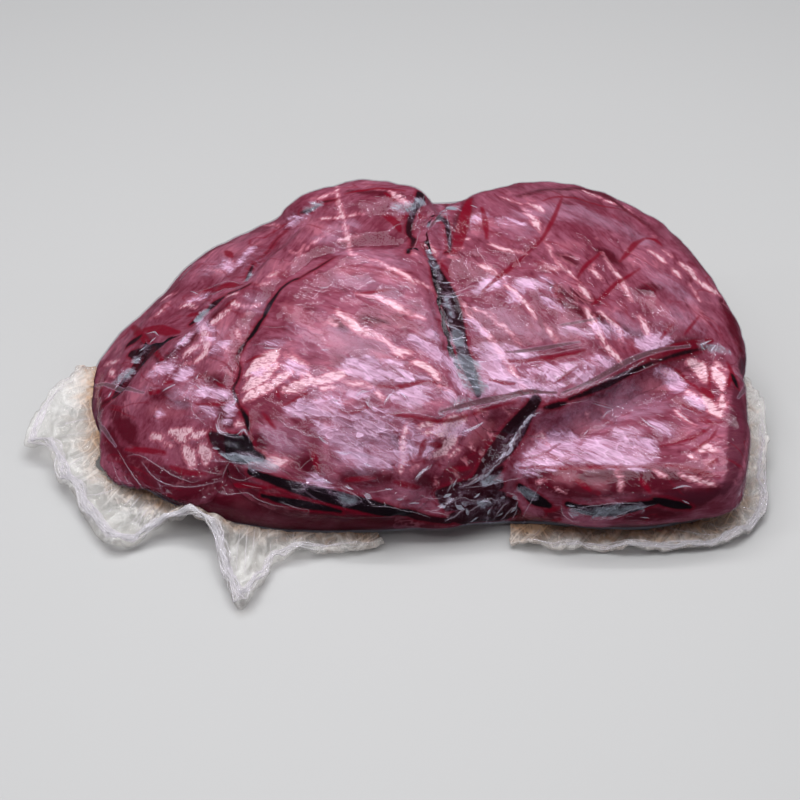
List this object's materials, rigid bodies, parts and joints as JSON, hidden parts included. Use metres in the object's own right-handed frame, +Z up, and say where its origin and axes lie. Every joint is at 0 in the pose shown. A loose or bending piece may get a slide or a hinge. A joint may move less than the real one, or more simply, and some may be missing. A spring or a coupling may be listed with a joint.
{
  "type": "vacuum packed raw beef skirt steak",
  "caption": "Folded raw beef skirt steaks in a tight clear vacuum bag, with empty crumpled film margins round the foot.",
  "frame": {"origin": "middle of the bounding box seen from above, on the surface that the pack lies on", "axes": "+X along the pack's long side, to the right of the pictured view; -Y towards the viewer; +Z up"},
  "size_m": [0.381, 0.2704, 0.0991],
  "materials": {
    "meat_under_film": "raw purple-red beef with pale pink fat and near-black blood, seen through tight glossy clear film",
    "clear_film": "clear crumpled vacuum film, two layers, with faint brownish stains"
  },
  "bodies": {
    "root": {"filled_bag": "meat_under_film", "bag_tail": "clear_film", "bag_end_skirt": "clear_film"}
  },
  "joints": []
}
